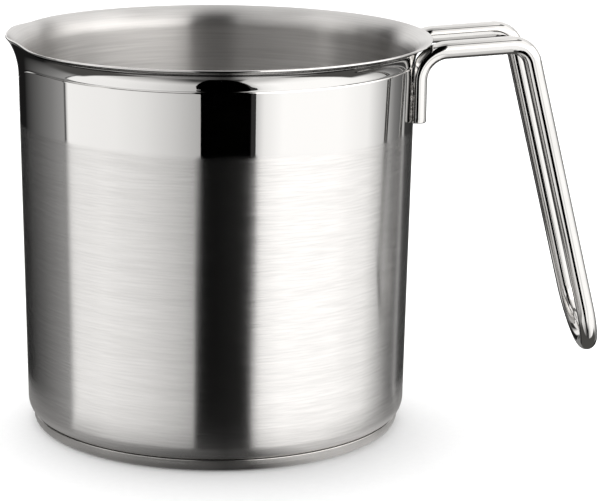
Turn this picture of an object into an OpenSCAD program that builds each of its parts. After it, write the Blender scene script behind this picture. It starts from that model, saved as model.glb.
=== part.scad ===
// Candle melting pot: a tall stainless steel pouring pot with a doubled wire handle.
// Frame: origin on the pot's axis at the plane it stands on. +Z up, +X towards the handle, -X towards the spout.
// Units are millimetres. Each physical piece is one module and one node.

/* [Vessel] */
// Outside diameter of the wall where the flare begins
wall_d = 141.3; // [100:0.1:200]
// Draft of the wall: how much the radius shrinks per mm downwards
wall_draft = 0.0158; // [0:0.001:0.05]
// Sheet thickness
sheet_t = 0.8; // [0.5:0.1:2]
// Height where the flare begins
flare_z = 132.7; // [80:0.1:200]
// Height of the heel's start on the wall
heel_z = 8.9; // [5:0.1:20]
// Radius of the heel outside
heel_r = 5.66; // [3:0.01:15]

/* [Rim] */
// How far the flared rim reaches out from the wall
flare_w = 6.15; // [2:0.05:12]
// Height of the flare
flare_h = 7.26; // [3:0.01:15]
// Angle the sheet has turned through at the lip
flare_turn = 80.6; // [40:0.1:89]

/* [Spout] */
// Sheet drawn in across the whole spout, at the lip
spout_pinch = 3.4; // [0:0.1:6]
// Half angle of the drawn-in part, degrees about the axis
spout_pinch_half = 32; // [10:0.5:40]
// Sheet pushed back out in the middle of the spout, at the lip
spout_beak = 1.95; // [0:0.05:6]
// Half angle of the beak
spout_beak_half = 16; // [4:0.5:20]
// How much lower the channel under the beak begins than the flare
spout_drop = 6.2; // [0:0.1:15]
// Half angle of that channel
spout_channel_half = 12.6; // [6:0.1:20]
// Rise of the lip at the shoulders of the spout
spout_rise = 1.5; // [0:0.05:4]
// Half angle of the rise
spout_rise_half = 22; // [10:0.5:40]
// How much lower the lip is at the beak than at the shoulders
spout_dip = 0.5; // [0:0.05:3]
// Half angle of the dip
spout_dip_half = 10; // [4:0.5:20]
// Angle the sheet has turned through at the beak's lip
spout_turn = 52; // [30:0.5:80]

/* [Base] */
// Outside diameter of the base cap
cap_d = 133.2; // [90:0.1:190]
// Height of the cap's side
cap_h = 4.0; // [2:0.1:10]
// Thickness of the cap
cap_t = 0.6; // [0.4:0.1:1.5]
// Radius of the cap's lower corner
cap_corner_r = 2.2; // [0.8:0.1:4]
// Radius of the heat-spreading disc
core_r = 64.4; // [40:0.1:90]

/* [Handle] */
// Diameter of the wire
rod_d = 6.4; // [4:0.1:10]
// Distance between the two strands, centre to centre
strand_gap = 35.6; // [20:0.1:60]
// Distance from the pot's axis to the upright end of the wire
stub_x = 69.87; // [60:0.01:90]
// Height of the wire's cut end
stub_z = 112; // [80:0.5:130]
// Height of the wire's centre where the run is at reach_ref
run_z = 138.55; // [100:0.05:160]
// Distance from the pot's axis where run_z is measured
reach_ref = 90; // [80:1:120]
// Rise of the run, degrees above level
run_rise = 4.1; // [0:0.1:15]
// Distance from the pot's axis to the outer corner of the run
corner_x = 108.8; // [95:0.1:130]
// Lean of the drop, degrees from upright
drop_lean = 13.9; // [0:0.1:30]
// Straight length of the drop
drop_l = 92.5; // [60:0.5:130]
// Centre-line radius of the bend at the pot
bend_in_r = 10.9; // [7:0.1:20]
// Centre-line radius of the outer bend
bend_out_r = 7.8; // [6:0.1:20]

/* [Welds] */
// Thickness of weld metal between the wall and the wire
weld_t = 0.5; // [0.2:0.05:1]
// Width of each weld
weld_w = 7.6; // [5:0.1:12]
// Length of each weld
weld_l = 13.6; // [8:0.1:20]

/* [Hidden] */
$fn = 96;
wall_r = wall_d / 2;
floor_z = heel_z - heel_r;
core_h = floor_z - cap_t;
cap_r = cap_d / 2;
rod_r = rod_d / 2;
// each straight length runs a little way over the start of the next bend, a hair thicker, so that they join cleanly
lap = 0.3;
straight_r = rod_r + 0.02;
strand_y = strand_gap / 2;
heel_c = wall_at(heel_z) - heel_r;
around = 96;
heel_n = 5;
floor_n = 1;
wall_n = 3;
flare_n = 7;
// turning points of the handle's centre line, as [x, z]
corner_1z = run_z + (stub_x - reach_ref) * tan(run_rise);
corner_2z = run_z + (corner_x - reach_ref) * tan(run_rise);
turn_1 = 90 - run_rise;
turn_2 = 90 + run_rise - drop_lean;
trim_1 = bend_in_r * tan(turn_1 / 2);
trim_2 = bend_out_r * tan(turn_2 / 2);
bend_1z = corner_1z - trim_1;
run_a = [stub_x + trim_1 * cos(run_rise), corner_1z + trim_1 * sin(run_rise)];
run_b = [corner_x - trim_2 * cos(run_rise), corner_2z - trim_2 * sin(run_rise)];
run_l = norm(run_b - run_a);
bend_2c = [run_b[0] + bend_out_r * sin(run_rise), run_b[1] - bend_out_r * cos(run_rise)];
drop_a = [bend_2c[0] + bend_out_r * cos(drop_lean), bend_2c[1] + bend_out_r * sin(drop_lean)];
drop_b = [drop_a[0] + drop_l * sin(drop_lean), drop_a[1] - drop_l * cos(drop_lean)];

// Outside radius of the wall at a height
function wall_at(z) = wall_r + wall_draft * (z - flare_z);
// 1 in the middle of the spout, falling smoothly to 0; half is where it has fallen to 0.37
function bump(a, half, power) = exp(-pow(abs(a) / half, power));
// Angle from the middle of the spout, for an angle about +Z measured from +X
function from_spout(t) = t - 180;
function lip_out(a) = flare_w - spout_pinch * bump(a, spout_pinch_half, 4)
    + spout_beak * bump(a, spout_beak_half, 4);
function start_z(a) = flare_z - spout_drop * bump(a, spout_channel_half, 2);
function lip_z(a) = flare_z + flare_h + spout_rise * bump(a, spout_rise_half, 4)
    - spout_dip * bump(a, spout_dip_half, 2);
function turn_at(a) = flare_turn
    + (spout_turn - flare_turn) * bump(a, spout_channel_half * 1.15, 2);
// Outside point of the flare at a share s of its turn
function flare_pt(a, s) =
    let (turn = turn_at(a), z0 = start_z(a), rise = lip_z(a) - z0)
    [wall_at(z0) + lip_out(a) * (1 - cos(turn * s)) / (1 - cos(turn)),
     z0 + rise * sin(turn * s) / sin(turn)];
// Direction of the flare's outside at s
function flare_dir(a, s) =
    let (turn = turn_at(a), rise = lip_z(a) - start_z(a),
         u = lip_out(a) * sin(turn * s) / (1 - cos(turn)), w = rise * cos(turn * s) / sin(turn))
    [u, w] / norm([u, w]);
// The same point on the inside of the sheet
function flare_in(a, s) =
    let (p = flare_pt(a, s), d = flare_dir(a, s))
    [p[0] - sheet_t * d[1], p[1] + sheet_t * d[0]];
function heel_pt(r, s) = [heel_c + r * sin(90 * s), heel_z - r * cos(90 * s)];
// Outside then inside of the sheet, from the middle of the floor and back to it
function profile(a) = concat(
    [for (i = [1:floor_n]) [heel_c * i / (floor_n + 1), floor_z]],
    [for (i = [0:heel_n]) heel_pt(heel_r, i / heel_n)],
    [for (i = [1:wall_n - 1]) let (z = heel_z + (start_z(a) - heel_z) * i / wall_n) [wall_at(z), z]],
    [for (i = [0:flare_n]) flare_pt(a, i / flare_n)],
    [for (i = [flare_n:-1:0]) flare_in(a, i / flare_n)],
    [for (i = [wall_n - 1:-1:1])
        let (z = heel_z + (start_z(a) - heel_z) * i / wall_n) [wall_at(z) - sheet_t, z]],
    [for (i = [heel_n:-1:0]) heel_pt(heel_r - sheet_t, i / heel_n)],
    [for (i = [floor_n:-1:1]) [heel_c * i / (floor_n + 1), floor_z + sheet_t]]
);

// Deep-drawn vessel: floor, heel, wall, flared rim and spout are one sheet
module pot_shell() {
    rings = len(profile(0));
    turn_step = 360 / around;
    points = concat(
        [[0, 0, floor_z], [0, 0, floor_z + sheet_t]],
        [for (k = [0:around - 1])
            let (t = k * turn_step, p = profile(from_spout(t)))
            for (q = p) [q[0] * cos(t), q[0] * sin(t), q[1]]]
    );
    faces = [
        for (k = [0:around - 1])
            let (a = 2 + k * rings, b = 2 + ((k + 1) % around) * rings)
            each concat(
                [[0, a, b], [1, b + rings - 1, a + rings - 1]],
                [for (i = [0:rings - 2]) [a + i, a + i + 1, b + i + 1]],
                [for (i = [0:rings - 2]) [a + i, b + i + 1, b + i]]
            )
    ];
    color([0.78, 0.78, 0.77])
        polyhedron(points = points, faces = faces, convexity = 6);
}

// Aluminium disc under the floor that spreads the heat
module base_core() {
    color([0.86, 0.87, 0.88])
        translate([0, 0, cap_t])
            cylinder(r = core_r, h = core_h);
}

// Half section of the cap, at one distance in from its outside
module cap_section(inset) {
    flat_r = cap_r - cap_corner_r;
    top = inset > 0 ? cap_h + 1 : cap_h;
    translate([0, inset])
        square([flat_r, top - inset]);
    translate([flat_r, cap_corner_r])
        circle(r = cap_corner_r - inset);
    translate([flat_r, cap_corner_r])
        square([cap_corner_r - inset, top - cap_corner_r]);
}

// Stainless dish pressed over the disc, up to the heel
module base_cap() {
    color([0.74, 0.74, 0.74])
        rotate_extrude()
            intersection() {
                difference() {
                    cap_section(0);
                    cap_section(cap_t);
                }
                square([cap_r + 1, cap_h]);
            }
}

// One upright end, bend, run, outer bend and drop, in the plane y = 0
module strand() {
    translate([stub_x, 0, stub_z])
        cylinder(r = straight_r, h = bend_1z - stub_z + lap);
    translate([stub_x + bend_in_r, 0, bend_1z])
        rotate([90, 0, 0])
            rotate([0, 0, 90 + run_rise])
                rotate_extrude(angle = turn_1)
                    translate([bend_in_r, 0])
                        circle(r = rod_r);
    translate([run_a[0], 0, run_a[1]])
        rotate([0, turn_1, 0])
            translate([0, 0, -lap])
                cylinder(r = straight_r, h = run_l + 2 * lap);
    translate([bend_2c[0], 0, bend_2c[1]])
        rotate([90, 0, 0])
            rotate([0, 0, drop_lean])
                rotate_extrude(angle = turn_2)
                    translate([bend_out_r, 0])
                        circle(r = rod_r);
    translate([drop_a[0], 0, drop_a[1]])
        rotate([0, 180 - drop_lean, 0])
            translate([0, 0, -lap])
                cylinder(r = straight_r, h = drop_l + 2 * lap);
}

// The solid that the wall and the weld metal take up beside the wire's ends
module wall_room(extra) {
    low = stub_z - 6;
    high = flare_z + 2.3;
    translate([0, 0, low])
        cylinder(r1 = wall_at(low) + extra, r2 = wall_at(high) + extra, h = high - low);
}

// Doubled wire handle: two strands and the loop that joins them, flattened where they meet the wall
module handle_rod() {
    color([0.85, 0.85, 0.85])
        difference() {
            union() {
                translate([0, -strand_y, 0])
                    strand();
                translate([0, strand_y, 0])
                    strand();
                translate([drop_b[0], 0, drop_b[1]])
                    rotate([0, -90 - drop_lean, 0])
                        rotate([0, 0, 90])
                            rotate_extrude(angle = 180)
                                translate([strand_y, 0])
                                    circle(r = rod_r);
            }
            wall_room(weld_t);
        }
}

// Weld metal between the wall and one end of the wire
module weld(side) {
    intersection() {
        difference() {
            wall_room(weld_t);
            wall_room(0);
        }
        translate([stub_x - 8, side * strand_y - weld_w / 2, stub_z + 0.3])
            cube([12, weld_w, weld_l]);
    }
}

module weld_front() {
    color([0.42, 0.41, 0.4])
        weld(-1);
}

module weld_rear() {
    color([0.42, 0.41, 0.4])
        weld(1);
}

pot_shell();
base_core();
base_cap();
handle_rod();
weld_front();
weld_rear();
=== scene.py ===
# %% [markdown]
# # A candle melting pot, dressed for the studio
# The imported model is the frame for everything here: it says where the pot, its base and its
# wire handle are, in metres, with +Z up. The looks could be made by editing that model, but then
# the sizes would drift. So it is loaded first, left alone, and each shown piece is built on it.

# %% Load the frame
import math

import bmesh
import bpy
from mathutils import Matrix, Vector


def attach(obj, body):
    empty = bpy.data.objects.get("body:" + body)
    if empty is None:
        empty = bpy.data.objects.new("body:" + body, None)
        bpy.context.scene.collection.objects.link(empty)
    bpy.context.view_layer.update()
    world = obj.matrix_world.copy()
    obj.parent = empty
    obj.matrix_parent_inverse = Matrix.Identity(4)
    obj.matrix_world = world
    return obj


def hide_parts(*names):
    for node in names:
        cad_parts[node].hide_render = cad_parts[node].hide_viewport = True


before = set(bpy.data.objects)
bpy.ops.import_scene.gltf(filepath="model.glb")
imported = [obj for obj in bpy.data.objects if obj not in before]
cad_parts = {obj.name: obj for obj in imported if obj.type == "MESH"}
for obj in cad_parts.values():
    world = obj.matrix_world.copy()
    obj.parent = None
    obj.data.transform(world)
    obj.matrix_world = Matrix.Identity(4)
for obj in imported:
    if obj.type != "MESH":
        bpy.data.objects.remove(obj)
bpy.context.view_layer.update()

MM = 0.001

# %% [markdown]
# ## The camera
# A long lens a short step back looks slightly down into the mouth. A wide lens nearer to the pot
# would show the same things, but it would swell the front of the wall. The shift slides the
# picture sideways a little, to leave room for the handle without turning the camera.

# %% Place the camera
lens = bpy.data.cameras.new("studio_lens")
lens.sensor_width = 36.0
lens.lens = 144.2
lens.shift_x = 0.075
lens.shift_y = 0.0
lens.dof.use_dof = False
lens.clip_start = 0.01
camera = bpy.data.objects.new("studio_camera", lens)
STANDPOINT = (-0.0507, -0.8468, 0.2710)
HEADING, LOOK_DOWN, TILT = math.radians(-4.377), math.radians(13.854), math.radians(0.441)
turn = (
    Matrix.Rotation(HEADING, 4, "Z")
    @ Matrix.Rotation(math.pi / 2 - LOOK_DOWN, 4, "X")
    @ Matrix.Rotation(TILT, 4, "Z")
)
camera.matrix_world = Matrix.Translation(STANDPOINT) @ turn
bpy.context.scene.collection.objects.link(camera)
bpy.context.scene.camera = camera
bpy.context.scene.view_settings.view_transform = "Standard"
print("camera at", [round(v, 3) for v in camera.matrix_world.translation])

# %% [markdown]
# ## Wiring up a finish
# A metal has almost no colour of its own: what shows is how it scatters reflections. Each finish
# below is a small network of nodes, and these helpers keep the wiring short to read. They add a
# node and fill its inputs, start a metal, brush it round the pot, stretch noise the same way, and
# map one range to another.

# %% Helpers for nodes
def add(tree, kind, inputs=(), **settings):
    node = tree.nodes.new("ShaderNode" + kind)
    for name, value in settings.items():
        setattr(node, name, value)
    for key, value in dict(inputs).items():
        if isinstance(value, bpy.types.NodeSocket):
            tree.links.new(value, node.inputs[key])
        else:
            node.inputs[key].default_value = value
    return node


def start_metal(name):
    finish = bpy.data.materials.new(name)
    finish.use_nodes = True
    tree = finish.node_tree
    metal = tree.nodes["Principled BSDF"]
    metal.inputs["Metallic"].default_value = 1.0
    place = add(tree, "TexCoord").outputs["Object"]
    return finish, tree, metal, place


def combine(tree, a, b, how="MULTIPLY"):
    return add(tree, "Math", {0: a, 1: b}, operation=how).outputs[0]


def brush_round(tree, metal, amount):
    """Smears reflections up and down, as scratches that run round the pot do."""
    metal.inputs["Anisotropic"].default_value = amount
    metal.inputs["Anisotropic Rotation"].default_value = 0.25
    ring = add(tree, "Tangent", direction_type="RADIAL", axis="Z")
    tree.links.new(ring.outputs[0], metal.inputs["Tangent"])


def streaks(tree, place, across, along, detail=2.0):
    """Noise stretched round the pot. along counts up the wall and out across the floor, per metre."""
    axes = add(tree, "SeparateXYZ", {"Vector": place})
    level = add(tree, "VectorMath", {0: place, 1: (1, 1, 0)}, operation="MULTIPLY").outputs[0]
    out = add(tree, "VectorMath", {0: level}, operation="LENGTH").outputs["Value"]
    way = combine(tree, axes.outputs["Z"], out, "ADD")
    turned = add(tree, "CombineXYZ", {"X": axes.outputs["X"], "Y": axes.outputs["Y"], "Z": way})
    stretched = add(tree, "Mapping", {"Vector": turned.outputs[0],
                                      "Scale": (across, across, along)})
    return add(tree, "TexNoise", {"Vector": stretched.outputs[0], "Scale": 1.0,
                                  "Detail": detail}).outputs["Fac"]


def spread(tree, value, low, high, to_low, to_high, smooth=False):
    """Maps a value from one range to another, and holds it at the ends."""
    kind = "SMOOTHSTEP" if smooth else "LINEAR"
    return add(tree, "MapRange", {"Value": value, "From Min": low, "From Max": high,
                                  "To Min": to_low, "To Max": to_high},
               interpolation_type=kind, clamp=True).outputs["Result"]


def tint(tree, value, dark, light):
    """A colour that runs from dark to light with a value between 0 and 1."""
    mix = add(tree, "Mix", {0: value}, data_type="RGBA")
    mix.inputs[6].default_value = (*dark, 1.0)
    mix.inputs[7].default_value = (*light, 1.0)
    return mix.outputs[2]


def relief(tree, height, depth, strength=1.0):
    return add(tree, "Bump", {"Height": height, "Distance": depth,
                              "Strength": strength}).outputs["Normal"]


print("finish helpers ready")

# %% [markdown]
# ## Satin outside, polished collar
# The wall was spun against an abrasive belt, so fine scratches run round it and smear reflections
# up and down. A collar at the top was then buffed bright, with a soft edge that isn't quite level.
# Two materials with a hard join would be simpler. One material, whose roughness falls with height,
# gives the soft edge and needs no cut in the mesh.

# %% Make the outside finish
COLLAR_START, COLLAR_FULL = 0.1092, 0.1118  # heights where buffing begins and is full, in metres
COLLAR_LEAN, COLLAR_WANDER = 0.013, 0.0007  # how it slants towards the handle, and wavers
BUFFED_STEEL = (0.90, 0.892, 0.882, 1.0)


def make_satin_outside():
    finish, tree, metal, place = start_metal("satin_with_bright_collar")
    axes = add(tree, "SeparateXYZ", {"Vector": place})
    lean = combine(tree, axes.outputs["X"], COLLAR_LEAN)
    height = combine(tree, axes.outputs["Z"], lean, "ADD")
    wander = spread(tree, streaks(tree, place, 40, 60), 0.0, 1.0, -COLLAR_WANDER, COLLAR_WANDER)
    height = combine(tree, height, wander, "ADD")
    bright = spread(tree, height, COLLAR_START, COLLAR_FULL, 0.0, 1.0, smooth=True)
    grain = streaks(tree, place, 90, 1800, 3.0)
    long_grain = streaks(tree, place, 9, 420, 2.0)
    dull = spread(tree, grain, 0.3, 0.7, 0.195, 0.225)
    polish = spread(tree, long_grain, 0.3, 0.7, 0.03, 0.05)
    rough = add(tree, "Mix", {0: bright, 2: dull, 3: polish}).outputs[0]
    fleck = add(tree, "Mix", {0: 0.3, 2: grain, 3: long_grain}).outputs[0]
    satin_colour = tint(tree, spread(tree, fleck, 0.35, 0.65, 0.0, 1.0),
                        (0.81, 0.80, 0.79), (0.92, 0.91, 0.90))
    colour = add(tree, "Mix", {0: bright, 6: satin_colour, 7: BUFFED_STEEL}, data_type="RGBA")
    tree.links.new(colour.outputs[2], metal.inputs["Base Color"])
    tree.links.new(rough, metal.inputs["Roughness"])
    brush_round(tree, metal, 0.97)
    scratch_depth = add(tree, "Mix", {0: bright, 2: 0.5, 3: 0.0}).outputs[0]
    wave = relief(tree, streaks(tree, place, 16, 14, 1.0), 0.00011)
    cut = add(tree, "Bump", {"Height": grain, "Distance": 0.000007, "Strength": scratch_depth,
                             "Normal": wave}).outputs["Normal"]
    tree.links.new(cut, metal.inputs["Normal"])
    return finish


satin_outside = make_satin_outside()
print("outside finish:", len(satin_outside.node_tree.nodes), "nodes")

# %% [markdown]
# ## Brushed inside
# The inside is brushed by hand with a coarser pad, so its lines are longer, easier to see, and
# not all of one depth. The same noise as outside would look machined. Two layers of streaks, one
# fine and one broad, break up the tone, and the floor gets rings from the turning tool.

# %% Make the inside finish
def make_brushed_inside():
    finish, tree, metal, place = start_metal("brushed_inside")
    fine = streaks(tree, place, 30, 1100, 3.0)
    broad = streaks(tree, place, 14, 330, 2.0)
    both = add(tree, "Mix", {0: 0.45, 2: fine, 3: broad}).outputs[0]
    colour = tint(tree, spread(tree, both, 0.35, 0.65, 0.0, 1.0),
                  (0.70, 0.69, 0.68), (0.86, 0.85, 0.84))
    tree.links.new(colour, metal.inputs["Base Color"])
    tree.links.new(spread(tree, both, 0.35, 0.65, 0.29, 0.36), metal.inputs["Roughness"])
    brush_round(tree, metal, 1.0)
    tree.links.new(relief(tree, both, 0.00002, 0.6), metal.inputs["Normal"])
    return finish


brushed_inside = make_brushed_inside()
print("inside finish:", len(brushed_inside.node_tree.nodes), "nodes")

# %% [markdown]
# ## Bright wire, cap steel, weld metal and aluminium
# The handle is drawn wire that was tumbled bright, with faint marks left along it. The cap under
# the base is pressed steel with a softer shine. Weld metal is dull and pitted, with a trace of heat
# colour. The disc inside the base is turned aluminium. Each is the same kind of small network.

# %% Make the other finishes
def make_metal(name, dark, light, dull, fine, depth, turned=0.0, blotch=70):
    finish, tree, metal, place = start_metal(name)
    across, along = fine
    grain = streaks(tree, place, across, along, 3.0)
    patch = spread(tree, streaks(tree, place, blotch, blotch, 2.0), 0.35, 0.65, 0.0, 1.0)
    tree.links.new(tint(tree, patch, dark, light), metal.inputs["Base Color"])
    tree.links.new(spread(tree, grain, 0.3, 0.7, *dull), metal.inputs["Roughness"])
    if turned:
        brush_round(tree, metal, turned)
    tree.links.new(relief(tree, grain, depth, 0.5), metal.inputs["Normal"])
    return finish


bright_wire = make_metal("bright_wire", (0.87, 0.86, 0.845), (0.93, 0.92, 0.905),
                         (0.03, 0.07), (160, 90), 0.000008)
cap_steel = make_metal("pressed_cap_steel", (0.70, 0.69, 0.675), (0.79, 0.775, 0.76),
                       (0.20, 0.28), (30, 1400), 0.00001, turned=0.6)
weld_metal = make_metal("pitted_weld", (0.10, 0.095, 0.09), (0.72, 0.70, 0.68),
                        (0.15, 0.45), (1100, 1100), 0.00025, blotch=1300)
turned_aluminium = make_metal("turned_aluminium", (0.78, 0.79, 0.80), (0.88, 0.89, 0.90),
                              (0.25, 0.38), (900, 60), 0.00001, turned=0.5)
print("finishes:", sorted(m.name for m in bpy.data.materials if m.use_nodes))

# %% [markdown]
# ## The drawn shell
# Wall, floor, heel, flared rim and spout are one steel sheet 0.8 mm thick. A lathe modifier would
# make the round part quickly, but the spout isn't round: there the rim is pinched in, its shoulders
# rise a little, and its middle is pulled out to a small beak. So the half section is worked out
# afresh at each angle, and the sections are joined. These are the shell's sizes in millimetres.

# %% Sizes and section of the shell
WALL_R, DRAFT, SHEET = 141.3 / 2, 0.0158, 0.8  # radius under the lip, slope, thickness
FLARE_Z, HEEL_Z, HEEL_R = 132.7, 8.9, 5.66  # foot of the lip, top of the heel and its radius
FLOOR_Z = HEEL_Z - HEEL_R
CREASE = ((0.65, 0.0), (0.47, 0.12), (0.32, 0.20), (0.17, 0.12))  # below the lip, depth
LIP_OUT, LIP_UP, LIP_TURN = 6.15, 7.26, 80.6  # reach, rise, and turn in degrees
LIP_END = 0.96  # share of the turn at which the lip's rounded edge begins
# The spout's shapes: how much of each, and its half width in degrees round the pot.
PINCH, PINCH_HALF = 3.4, 32
BEAK, BEAK_HALF = 1.95, 16
CHANNEL, CHANNEL_HALF = 6.2, 12.6
SHOULDER, SHOULDER_HALF = 1.5, 22
DIP, DIP_HALF = 0.5, 10
SPOUT_TURN, SPOUT_TURN_HALF = 52.0, 14.4


def wall_at(z):
    return WALL_R + DRAFT * (z - FLARE_Z)


HEEL_C = wall_at(HEEL_Z) - HEEL_R


def bump(a, half, power):
    return math.exp(-((abs(a) / half) ** power))


def flare_foot(a):
    """Height where the wall starts to turn out, which is lower in the spout's channel."""
    return FLARE_Z - CHANNEL * bump(a, CHANNEL_HALF, 2)


def flare(a, s):
    """Outside point of the flare and its direction, at s of its turn, a degrees off the spout."""
    out = LIP_OUT - PINCH * bump(a, PINCH_HALF, 4) + BEAK * bump(a, BEAK_HALF, 4)
    start = flare_foot(a)
    top = FLARE_Z + LIP_UP + SHOULDER * bump(a, SHOULDER_HALF, 4) - DIP * bump(a, DIP_HALF, 2)
    rise = top - start
    whole = math.radians(LIP_TURN + (SPOUT_TURN - LIP_TURN) * bump(a, SPOUT_TURN_HALF, 2))
    r = wall_at(start) + out * (1 - math.cos(whole * s)) / (1 - math.cos(whole))
    z = start + rise * math.sin(whole * s) / math.sin(whole)
    d = Vector((out * math.sin(whole * s) / (1 - math.cos(whole)),
                rise * math.cos(whole * s) / math.sin(whole))).normalized()
    return Vector((r, z)), d


def shell_section(a):
    """The section from the floor's middle out, up, over the lip and back, as (r, z) and a side."""
    start = flare_foot(a)
    wall_steps = [0.003, 0.02, 0.1, 0.25, 0.45, 0.65, 0.8, 0.9, 0.96, 0.985, 0.992]
    wall_z = [HEEL_Z + (start - HEEL_Z) * k for k in wall_steps]
    floor = [(HEEL_C * k / 8, FLOOR_Z) for k in range(1, 8)] + [(HEEL_C - 0.05, FLOOR_Z)]
    heel = [math.radians(90 * k / 9) for k in range(10)]
    turns = [k / 20 for k in range(20)] + [LIP_END]
    outside, inside = [], []
    outside += floor
    outside += [(HEEL_C + HEEL_R * math.sin(h), HEEL_Z - HEEL_R * math.cos(h)) for h in heel]
    outside += [(wall_at(z), z) for z in wall_z]
    outside += [(wall_at(start - drop) - dip, start - drop) for drop, dip in CREASE]
    inside += [(r, z + SHEET) for r, z in floor]
    thin = HEEL_R - SHEET
    inside += [(HEEL_C + thin * math.sin(h), HEEL_Z - thin * math.cos(h)) for h in heel]
    inside += [(wall_at(z) - SHEET, z) for z in wall_z]
    for s in turns:
        p, d = flare(a, s)
        outside.append(tuple(p))
        inside.append((p.x - SHEET * d.y, p.y + SHEET * d.x))
    p, d = flare(a, LIP_END)
    inward = Vector((-d.y, d.x))
    middle = p + inward * SHEET / 2
    lip = []
    for k in range(1, 8):
        turn = math.pi * k / 8
        lip.append(tuple(middle + SHEET / 2 * (d * math.sin(turn) - inward * math.cos(turn))))
    return outside, lip, inside[::-1]


print("section points:", [len(part) for part in shell_section(180.0)])

# %% [markdown]
# ## Joining sections into a skin
# Each ring of points is joined to the next with four-sided faces, and the two open ends are closed
# with a fan. The same routine makes the shell and the cap. Faces are shaded smooth. Close pairs of
# rings beside each bend keep the flat parts flat under that shading.

# %% Build the shell
def skin(name, sections, materials, zones):
    """Joins equal sections round Z into a closed mesh. zones gives the material of each ring."""
    mesh = bmesh.new()
    count, rings = len(sections), len(sections[0])
    grid = []
    for k, section in enumerate(sections):
        t = 2 * math.pi * k / count
        grid.append([mesh.verts.new((r * math.cos(t) * MM, r * math.sin(t) * MM, z * MM))
                     for r, z in section])
    first = mesh.verts.new((0, 0, sections[0][0][1] * MM))
    last = mesh.verts.new((0, 0, sections[0][-1][1] * MM))
    for k in range(count):
        here, there = grid[k], grid[(k + 1) % count]
        mesh.faces.new((first, there[0], here[0])).material_index = zones[0]
        mesh.faces.new((last, here[-1], there[-1])).material_index = zones[-1]
        for i in range(rings - 1):
            face = mesh.faces.new((here[i], there[i], there[i + 1], here[i + 1]))
            face.material_index = zones[i]
    return finish_mesh(name, mesh, materials)


def finish_mesh(name, mesh, materials):
    bmesh.ops.recalc_face_normals(mesh, faces=mesh.faces)
    data = bpy.data.meshes.new(name)
    mesh.to_mesh(data)
    mesh.free()
    data.polygons.foreach_set("use_smooth", [True] * len(data.polygons))
    for material in materials:
        data.materials.append(material)
    piece = bpy.data.objects.new(name, data)
    bpy.context.scene.collection.objects.link(piece)
    print(name, "faces:", len(data.polygons))
    return piece


TURNS = 288
BUFFED_RINGS = 5  # rings of the lip's edge that take the outside finish
parts = [shell_section(360 * k / TURNS - 180) for k in range(TURNS)]
sections = [outside + lip + inside for outside, lip, inside in parts]
outer_rings = len(parts[0][0]) + BUFFED_RINGS
zones = [0 if i < outer_rings else 1 for i in range(len(sections[0]))]
shell = skin("drawn_shell", sections, [satin_outside, brushed_inside], zones)
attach(shell, "root")
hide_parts("pot_shell")

# %% [markdown]
# ## The pressed cap
# A shallow steel dish is pressed on under the floor to hold the heat disc. Its rim stops beside the
# heel, which leaves a thin dark seam, and the rim's edge catches the light. The edge is rounded by
# a quarter of a millimetre, because a perfectly sharp one would never shine.

# %% Build the cap
CAP_R, CAP_H, CAP_T, CORNER = 66.6, 4.0, 0.6, 2.2


def cap_section():
    flat = CAP_R - CORNER
    quarter = [math.radians(90 * k / 8) for k in range(9)]
    outside = [(flat * k / 6, 0.0) for k in range(1, 6)] + [(flat - 0.05, 0.0)]
    outside += [(flat + CORNER * math.sin(q), CORNER - CORNER * math.cos(q)) for q in quarter]
    outside += [(CAP_R, 2.3), (CAP_R, CAP_H - 0.3)]
    rim = [(CAP_R - 0.25 + 0.25 * math.cos(q), CAP_H - 0.25 + 0.25 * math.sin(q)) for q in quarter]
    rim += [(CAP_R - CAP_T + 0.15 - 0.15 * math.sin(q), CAP_H - 0.15 + 0.15 * math.cos(q))
            for q in quarter[::2]]
    thin = CORNER - CAP_T
    inside = [(flat + thin * math.sin(q), CORNER - thin * math.cos(q)) for q in quarter[::-2]]
    inside += [(flat * k / 6, CAP_T) for k in range(5, 0, -1)]
    return outside + rim + inside


cap_rings = cap_section()
cap = skin("pressed_cap", [cap_rings] * TURNS, [cap_steel], [0] * len(cap_rings))
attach(cap, "root")
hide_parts("base_cap")

# %% [markdown]
# ## The wire handle
# One wire, 6.4 mm thick, rises from the wall, bends out under the rim, runs nearly level, turns
# down and loops back. A curve with a round bevel would do it in three lines, but the ends are pressed flat
# against the wall. So the wire is swept here as a mesh, whose points can be pushed out to the wall.

# %% Path of the wire
ROD_R, STRAND_Y = 3.19, 17.8  # radius of the wire, and how far each strand is off the middle
RISE, LEAN = math.radians(4.1), math.radians(13.9)  # of the level run, and of the grip
IN_R, OUT_R, DROP = 10.9, 7.8, 92.5  # the inner and outer bend, and the grip's straight length
STUB_X, STUB_Z = 69.87, 112.0  # the cut end at the wall
REACH, RUN_Z, CORNER_X = 90.0, 138.55, 108.8  # a point on the run, and its outer corner


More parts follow.
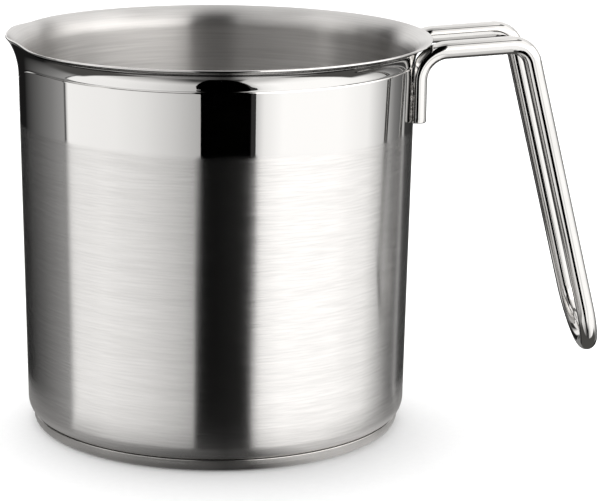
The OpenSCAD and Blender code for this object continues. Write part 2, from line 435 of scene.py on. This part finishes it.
def strand_line():
    """Centre line of one strand in X and Z, from its cut end to where the loop starts."""
    z1 = RUN_Z + (STUB_X - REACH) * math.tan(RISE)
    z2 = RUN_Z + (CORNER_X - REACH) * math.tan(RISE)
    turn_1, turn_2 = math.pi / 2 - RISE, math.pi / 2 + RISE - LEAN
    trim_1, trim_2 = IN_R * math.tan(turn_1 / 2), OUT_R * math.tan(turn_2 / 2)
    points = [(STUB_X, STUB_Z + (z1 - trim_1 - STUB_Z) * k / 8) for k in range(8)]
    centre = (STUB_X + IN_R, z1 - trim_1)
    for k in range(25):
        a = math.pi - turn_1 * k / 24
        points.append((centre[0] + IN_R * math.cos(a), centre[1] + IN_R * math.sin(a)))
    a = points[-1]
    b = (CORNER_X - trim_2 * math.cos(RISE), z2 - trim_2 * math.sin(RISE))
    points += [(a[0] + (b[0] - a[0]) * k / 6, a[1] + (b[1] - a[1]) * k / 6) for k in range(1, 6)]
    centre = (b[0] + OUT_R * math.sin(RISE), b[1] - OUT_R * math.cos(RISE))
    for k in range(25):
        a = math.pi / 2 + RISE - turn_2 * k / 24
        points.append((centre[0] + OUT_R * math.cos(a), centre[1] + OUT_R * math.sin(a)))
    a = points[-1]
    for k in range(1, 15):
        points.append((a[0] + DROP * math.sin(LEAN) * k / 14,
                       a[1] - DROP * math.cos(LEAN) * k / 14))
    return points


def wire_path():
    line = strand_line()
    front = [Vector((x, -STRAND_Y, z)) for x, z in line]
    end = Vector((line[-1][0], 0, line[-1][1]))
    down = Vector((math.sin(LEAN), 0, -math.cos(LEAN)))
    loop = [end + STRAND_Y * (down * math.sin(math.pi * k / 36)
                              - Vector((0, 1, 0)) * math.cos(math.pi * k / 36))
            for k in range(1, 36)]
    back = [Vector((x, STRAND_Y, z)) for x, z in reversed(line)]
    return front + loop + back


path = wire_path()
print("wire length, mm:", round(sum((b - a).length for a, b in zip(path, path[1:])), 1))

# %% [markdown]
# ## Sweeping the wire
# A ring of points is carried along the path, and each step turns it only as much as the path turns,
# so the ring never twists. Near the wall, a point that would fall inside the pot is pushed out
# to the weld's face. The cut ends get a small chamfer, as a deburred wire has.

# %% Build the handle
SIDES = 48
WELD_T, PRESSED_TO = 0.5, 135.0  # thickness of the weld, height up to which the wire is flattened
CHAMFER, CUT_SHARE = 0.35, 0.9  # height of the chamfer, and share of the radius at the cut


def rings_along(path, sides):
    """Square rings to the path, with their twist kept at zero."""
    side = Vector((0, 1, 0))
    rings = []
    for k, p in enumerate(path):
        ahead = (path[min(k + 1, len(path) - 1)] - path[max(k - 1, 0)]).normalized()
        side = (side - ahead * side.dot(ahead)).normalized()
        other = ahead.cross(side)
        rings.append([p + ROD_R * (side * math.cos(2 * math.pi * i / sides)
                                   + other * math.sin(2 * math.pi * i / sides))
                      for i in range(sides)])
    return rings


def flatten_on_wall(p):
    reach = wall_at(p.z) + WELD_T
    out = math.hypot(p.x, p.y)
    if p.z < PRESSED_TO and out < reach:
        return Vector((p.x * reach / out, p.y * reach / out, p.z))
    return p


rings = rings_along(path, SIDES)
for end in (0, -1):
    centre = path[end]
    shoulder = [v + Vector((0, 0, CHAMFER)) for v in rings[end]]
    chamfer = [centre + (v - centre) * CUT_SHARE for v in rings[end]]
    if end == 0:
        rings = [chamfer, shoulder] + rings[1:]
    else:
        rings = rings[:-1] + [shoulder, chamfer]
mesh = bmesh.new()
grid = [[mesh.verts.new(flatten_on_wall(v) * MM) for v in ring] for ring in rings]
for here, there in zip(grid, grid[1:]):
    for i in range(SIDES):
        j = (i + 1) % SIDES
        mesh.faces.new((here[i], here[j], there[j], there[i]))
for cut in (grid[0], grid[-1][::-1]):
    mesh.faces.new(cut)
handle = finish_mesh("wire_handle", mesh, [bright_wire])
for polygon in handle.data.polygons:
    polygon.use_smooth = len(polygon.vertices) == 4
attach(handle, "root")
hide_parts("handle_rod")

# %% [markdown]
# ## The weld beads
# Each wire end is held by a thin pad of weld metal that swells out a little at both sides of the
# wire. It could be a bump on the wall, but then it would shine like the wall. It is a small grid
# instead, laid on the wall's curve, with a rippled face as a welder leaves it.

# %% Build the welds
PAD_Z, PAD_TALL, PAD_HALF = 112.4, 13.4, 3.7  # foot, height and half width of a pad
PAD_EDGE, PAD_BODY = 0.05, 0.44  # thickness at its edge, and what the middle adds


def weld_pad(name, side, node):
    mesh = bmesh.new()
    rows, columns = 40, 24
    outer, inner = [], []
    for i in range(rows + 1):
        z = PAD_Z + PAD_TALL * i / rows
        face, root = [], []
        for j in range(columns + 1):
            across = -1 + 2 * j / columns
            y = side * STRAND_Y + PAD_HALF * across
            edge = min(1.0, (1 - abs(across)) * 4.0) * min(1.0, min(i, rows - i) / 3.0)
            ripple = 0.85 + 0.15 * math.sin(2.6 * z + 1.7 * across) * math.cos(5.0 * across)
            thick = PAD_EDGE + PAD_BODY * math.sqrt(edge) * ripple
            for lift, row in ((thick, face), (0.0, root)):
                r = wall_at(z) + lift
                row.append(mesh.verts.new(Vector((math.sqrt(r * r - y * y), y, z)) * MM))
        outer.append(face)
        inner.append(root)
    for i in range(rows):
        for j in range(columns):
            mesh.faces.new((outer[i][j], outer[i][j + 1], outer[i + 1][j + 1], outer[i + 1][j]))
            mesh.faces.new((inner[i][j], inner[i + 1][j], inner[i + 1][j + 1], inner[i][j + 1]))
    for i in range(rows):
        for j in (0, columns):
            mesh.faces.new((outer[i][j], outer[i + 1][j], inner[i + 1][j], inner[i][j]))
    for j in range(columns):
        for i in (0, rows):
            mesh.faces.new((outer[i][j], outer[i][j + 1], inner[i][j + 1], inner[i][j]))
    pad = finish_mesh(name, mesh, [weld_metal])
    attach(pad, "root")
    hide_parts(node)


weld_pad("weld_bead_front", -1, "weld_front")
weld_pad("weld_bead_rear", 1, "weld_rear")

# %% [markdown]
# ## The heat disc
# The aluminium disc is closed in between floor and cap, where nobody sees it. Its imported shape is
# already right, so it stays, and only its finish changes.

# %% Finish the heat disc
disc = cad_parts["base_core"]
disc.data.materials.clear()
disc.data.materials.append(turned_aluminium)
print("heat disc finish:", disc.data.materials[0].name)

# %% [markdown]
# ## The studio
# Polished steel shows its surroundings, so the light is a plan of the room: a large soft box at
# the left, a larger one at the right, dim room behind the pot, and narrow edges between them.
# Lamps could give the same highlights with a great deal of noise. So the brightness is painted on
# the sky round the pot, first by compass direction and then by height. Here are the levels.

# %% Light levels
CAMERA_SIDE = -3.4  # where the camera stands, in degrees round the pot from the front
ROOM = [  # degrees from the camera towards the right, brightness
    (-180, 0.20), (-168, 0.25), (-166, 0.01), (-147, 0.01), (-144, 0.03), (-125, 0.12),
    (-110, 0.21), (-98, 0.32), (-97.2, 0.03), (-96.2, 0.03), (-95.4, 0.97), (-60, 0.92),
    (-42, 0.82), (-25, 0.65), (-8, 0.44), (-4, 1.00), (20, 1.00), (21, 0.55), (27, 0.92),
    (38, 1.10), (75, 1.10), (97, 0.97), (108, 0.66), (125, 0.21), (136, 0.10), (138, 0.50),
    (140, 0.50), (142, 0.05), (163, 0.02), (164.5, 0.14), (166, 0.02), (180, 0.20),
]
# The others run from far left (-1) to far right (1): the ceiling, the ground, and how many times
# as bright the soft boxes are above eye level as below it.
SKY = [(-1, 1.25), (-0.6, 1.20), (-0.3, 0.85), (-0.06, 0.46), (0.05, 0.42), (0.12, 0.92),
       (0.35, 1.08), (1, 1.15)]
GROUND = [(-1, 0.60), (-0.4, 0.45), (-0.25, 0.20), (-0.15, 0.05), (0.12, 0.04), (0.15, 0.10),
          (0.18, 0.55), (0.3, 0.60), (0.5, 0.90), (1, 0.90)]
BOX_TOPS = [(-1, 0.25), (-0.96, 0.25), (-0.93, 0.90), (-0.89, 0.90), (-0.86, 0.25), (-0.2, 0.25),
            (-0.02, 0.50), (0.1, 1.00), (0.3, 2.10), (0.95, 2.10), (1, 1.50)]
print("light levels round the pot:", len(ROOM))

# %% [markdown]
# ## Painting by direction
# A ramp turns a direction into a brightness, and a gate is a soft switch from one part of the room
# to the next. A picture of a real studio could do the same, but its boxes couldn't be moved one by
# one. Each helper adds one step to the sky's network.

# %% Helpers for the room
def ramp_of(tree, value, levels, low, high, tone):
    """Brightness along a value, from stops that run from low to high."""
    ramp = add(tree, "ValToRGB", {"Fac": value})
    stops = ramp.color_ramp.elements
    for k, (place, level) in enumerate(levels):
        spot = (place - low) / (high - low)
        stop = stops[k] if k < 2 else stops.new(spot)
        stop.position = spot
        stop.color = (*[level * part for part in tone], 1.0)
    return ramp.outputs["Color"]


def band(tree, right, levels):
    """Brightness from left (-1) to right (1)."""
    share = spread(tree, right, -1.0, 1.0, 0.0, 1.0)
    return ramp_of(tree, share, levels, -1, 1, (1.0, 0.985, 0.97))


def gate(tree, value, shut, open_at):
    return spread(tree, value, shut, open_at, 0.0, 1.0)


def over(tree, share, below, above):
    return add(tree, "Mix", {0: share, 6: below, 7: above}, data_type="RGBA").outputs[2]


def dimmed(tree, colour, by):
    return add(tree, "Mix", {0: 1.0, 6: colour, 7: by}, data_type="RGBA",
               blend_type="MULTIPLY").outputs[2]


def directions(tree):
    """Share of a full turn round the pot, then how far right, back and up a ray looks."""
    place = add(tree, "TexCoord").outputs["Generated"]
    axes = add(tree, "SeparateXYZ", {"Vector": place})
    front = combine(tree, axes.outputs["Y"], -1.0)
    angle = combine(tree, axes.outputs["X"], front, "ARCTAN2")
    share = combine(tree, angle, 1 / (2 * math.pi))
    share = combine(tree, share, 0.5 - CAMERA_SIDE / 360, "ADD")
    share = add(tree, "Math", {0: share}, operation="FRACT").outputs[0]
    turned = add(tree, "Mapping", {"Vector": place,
                                   "Rotation": (0, 0, math.radians(-CAMERA_SIDE))})
    aside = add(tree, "SeparateXYZ", {"Vector": turned.outputs[0]})
    return share, aside.outputs["X"], aside.outputs["Y"], axes.outputs["Z"]


print("room helpers ready")

# %% [markdown]
# ## Ceiling, far wall and table
# The soft boxes end at a height. Over them is the ceiling, with a dark joint round its middle, and
# far under them the ground. Behind the pot stand a pale wall and, lower, a dim table. Real furniture
# could be modelled instead, but only its brightness shows in the steel. A height here is 0 at eye
# level and 1 straight up, and each pair says where a gate is shut and where it is open.

# %% Paint the surroundings
UPPER, CEILING, GROUND_EDGE = (0.02, 0.12), (0.52, 0.58), (-0.70, -0.92)
JOINT_FOOT, JOINT_TOP = (0.845, 0.865), (0.945, 0.925)
WALL_FOOT, TABLE_EDGE = (-0.02, 0.08), (-0.50, -0.60)
PAST_SIDES, REAR, FAR_REAR = (0.0, 0.06), (0.03, 0.15), (0.62, 0.80)
JOINT_GREY, REAR_CEILING = (0.15, 0.148, 0.145, 1.0), (0.86, 0.85, 0.84, 1.0)
PALE_WALL, DIM_TABLE = (0.95, 0.94, 0.93, 1.0), (0.07, 0.068, 0.065, 1.0)


def surroundings(tree):
    share, right, back, up = directions(tree)
    boxes = ramp_of(tree, share, ROOM, -180, 180, (1.0, 0.992, 0.98))
    tops = dimmed(tree, boxes, band(tree, right, BOX_TOPS))
    seen = over(tree, gate(tree, up, *UPPER), boxes, tops)
    seen = over(tree, gate(tree, up, *CEILING), seen, band(tree, right, SKY))
    seen = over(tree, gate(tree, up, *GROUND_EDGE), seen, band(tree, right, GROUND))
    joint = combine(tree, gate(tree, up, *JOINT_FOOT), gate(tree, up, *JOINT_TOP))
    seen = over(tree, joint, seen, JOINT_GREY)
    rear = combine(tree, gate(tree, back, *REAR), gate(tree, up, *CEILING))
    seen = over(tree, rear, seen, REAR_CEILING)
    wall = combine(tree, gate(tree, back, *FAR_REAR), gate(tree, up, *WALL_FOOT))
    seen = over(tree, wall, seen, PALE_WALL)
    table = combine(tree, gate(tree, back, *PAST_SIDES), gate(tree, up, *TABLE_EDGE))
    return over(tree, table, seen, DIM_TABLE), right, up


print("parts of the room: boxes, ceiling, joint, ground, wall, table")

# %% [markdown]
# ## Light that only some rays see
# A second reflection, as under the lip and inside the pot, meets a darker room, so it keeps only a
# share of its light. Matte surfaces get a plain light that is stronger from behind, which brings
# the soft shadow forward. The camera sees white. One sky for all rays would be simpler, but then
# the floor would be striped by the boxes.

# %% Light the room
KEPT_ABOVE, KEPT_MIDDLE, KEPT_SIDE = 0.6, 0.07, 0.50  # shares kept by a second reflection
MATTE_FRONT, MATTE_BACK = 0.3, 3.1  # light on matte surfaces, from in front and from behind
AFTER_MATTE, WHITE = (0.06, 0.06, 0.06, 1.0), (1.0, 1.0, 1.0, 1.0)


def second_reflection(tree, seen, right, up):
    depth = add(tree, "LightPath").outputs["Glossy Depth"]
    sideways = combine(tree, right, right)
    low = spread(tree, sideways, 0.16, 0.50, KEPT_MIDDLE, KEPT_SIDE)
    kept = add(tree, "Mix", {0: gate(tree, up, -0.05, 0.05), 2: low, 3: KEPT_ABOVE}).outputs[0]
    share = add(tree, "Mix", {0: gate(tree, depth, 1.4, 1.6), 2: 1.0, 3: kept}).outputs[0]
    return dimmed(tree, seen, share)


def plain_light(tree, seen):
    """What matte surfaces and the camera see, over what reflections see."""
    rays = add(tree, "LightPath")
    place = add(tree, "TexCoord").outputs["Generated"]
    away = add(tree, "SeparateXYZ", {"Vector": place}).outputs["Y"]
    after = combine(tree, rays.outputs["Diffuse Depth"], 0.5, "GREATER_THAN")
    seen = over(tree, after, seen, AFTER_MATTE)
    soft = spread(tree, away, -1.0, 1.0, MATTE_FRONT, MATTE_BACK)
    seen = over(tree, rays.outputs["Is Diffuse Ray"], seen, soft)
    return over(tree, rays.outputs["Is Camera Ray"], seen, WHITE)


def make_room():
    room = bpy.data.worlds.new("studio_room")
    bpy.context.scene.world = room
    room.use_nodes = True
    tree = room.node_tree
    seen = plain_light(tree, second_reflection(tree, *surroundings(tree)))
    tree.links.new(seen, tree.nodes["Background"].inputs["Color"])
    return room


room = make_room()
print("sky network:", len(room.node_tree.nodes), "nodes")

# %% [markdown]
# ## The black card
# Photographers stand a black card near the lens, so that the front of a steel pot gets a crisp dark
# band and reads as round. It could be one more dark stop in the room, but a room is far away. The
# card stands close, so it shows in the wall and slides off the handle's run. Its right strip has a
# faint glow of painted light, though the card is no lamp.

# %% Cut the card
CARD = ((-0.050, 0.036), (-0.064, 0.026), (-0.072, -0.08), (-0.072, -1.6), (0.100, -1.6),
        (0.120, -0.065), (0.136, -0.014), (0.136, 0.026), (0.127, 0.036), (0.127, 0.9),
        (-0.080, 0.9), (-0.080, 0.2), (-0.050, 0.1))
CARD_AWAY = 0.35  # from the pot's middle, in metres


def make_card():
    finish = bpy.data.materials.new("black_card")
    finish.use_nodes = True
    tree = finish.node_tree
    tree.nodes.clear()
    place = add(tree, "TexCoord").outputs["Object"]
    across = add(tree, "SeparateXYZ", {"Vector": place}).outputs["X"]
    # painted light: the card's right strip glows faintly, though the card is no lamp
    level = spread(tree, across, 0.108, 0.112, 0.0, 0.03)
    glow = add(tree, "Emission", {"Color": (1, 0.98, 0.96, 1), "Strength": level})
    add(tree, "OutputMaterial", {"Surface": glow.outputs[0]})
    mesh = bmesh.new()
    mesh.faces.new([mesh.verts.new((x, 0.0, z)) for x, z in CARD])
    card = finish_mesh("black_card", mesh, [finish])
    away = math.radians(CAMERA_SIDE)
    card.location = (CARD_AWAY * math.sin(away), -CARD_AWAY * math.cos(away), 0.0)
    card.rotation_euler = (0.0, 0.0, away)
    card.visible_camera = False
    card.visible_diffuse = False
    card.visible_shadow = False
    return card


print("card corners:", len(CARD))

# %% [markdown]
# ## The floor
# The floor is plain and pale, with a slight glow of its own to keep shadows soft. A shiny base
# would show it as one flat white, while a real one shows its own shadow. So reflections see a
# small shaded disc round the base, darkest under its middle, and look past the rest of the floor.

# %% Lay the floor and set the stage
SHADED = [(-1, 0.24), (-0.75, 0.32), (-0.45, 0.20), (-0.2, 0.10), (0.0, 0.04), (0.12, 0.06),
          (0.25, 0.28), (0.42, 0.58), (0.7, 0.56), (1, 0.25)]
SHADED_HALF = 0.08  # half width over which the shading runs, in metres
SHADED_END, SEEN_PAST = 0.088, 0.102  # distances where the disc starts to fade, and is gone
FLOOR_HALF, FLOOR_DROP = 4, 0.0001


def make_floor():
    finish = bpy.data.materials.new("pale_floor")
    finish.use_nodes = True
    tree = finish.node_tree
    tree.nodes.clear()
    place = add(tree, "TexCoord").outputs["Object"]
    speck = add(tree, "TexNoise", {"Vector": place, "Scale": 400.0}).outputs["Fac"]
    paper = add(tree, "BsdfDiffuse", {"Color": tint(tree, speck, (0.86, 0.86, 0.86),
                                                    (0.90, 0.90, 0.90))})
    glow = add(tree, "Emission", {"Color": (1, 1, 1, 1), "Strength": 0.04})
    both = add(tree, "AddShader", {0: paper.outputs[0], 1: glow.outputs[0]})
    gone = add(tree, "BsdfTransparent")
    axes = add(tree, "SeparateXYZ", {"Vector": place})
    across = spread(tree, axes.outputs["X"], -SHADED_HALF, SHADED_HALF, -1.0, 1.0)
    shade = add(tree, "Emission", {"Color": band(tree, across, SHADED), "Strength": 1.0})
    reach = add(tree, "VectorMath", {0: place}, operation="LENGTH").outputs["Value"]
    far = spread(tree, reach, SHADED_END, SEEN_PAST, 0.0, 1.0, smooth=True)
    mirrored = add(tree, "MixShader", {0: far, 1: shade.outputs[0], 2: gone.outputs[0]})
    rays = add(tree, "LightPath")
    shown = add(tree, "MixShader", {0: rays.outputs["Is Glossy Ray"], 1: both.outputs[0],
                                     2: mirrored.outputs[0]})
    add(tree, "OutputMaterial", {"Surface": shown.outputs[0]})
    mesh = bmesh.new()
    corners = ((-1, -1), (1, -1), (1, 1), (-1, 1))
    mesh.faces.new([mesh.verts.new((x * FLOOR_HALF, y * FLOOR_HALF, -FLOOR_DROP))
                    for x, y in corners])
    return finish_mesh("pale_floor", mesh, [finish])


make_card()
make_floor()
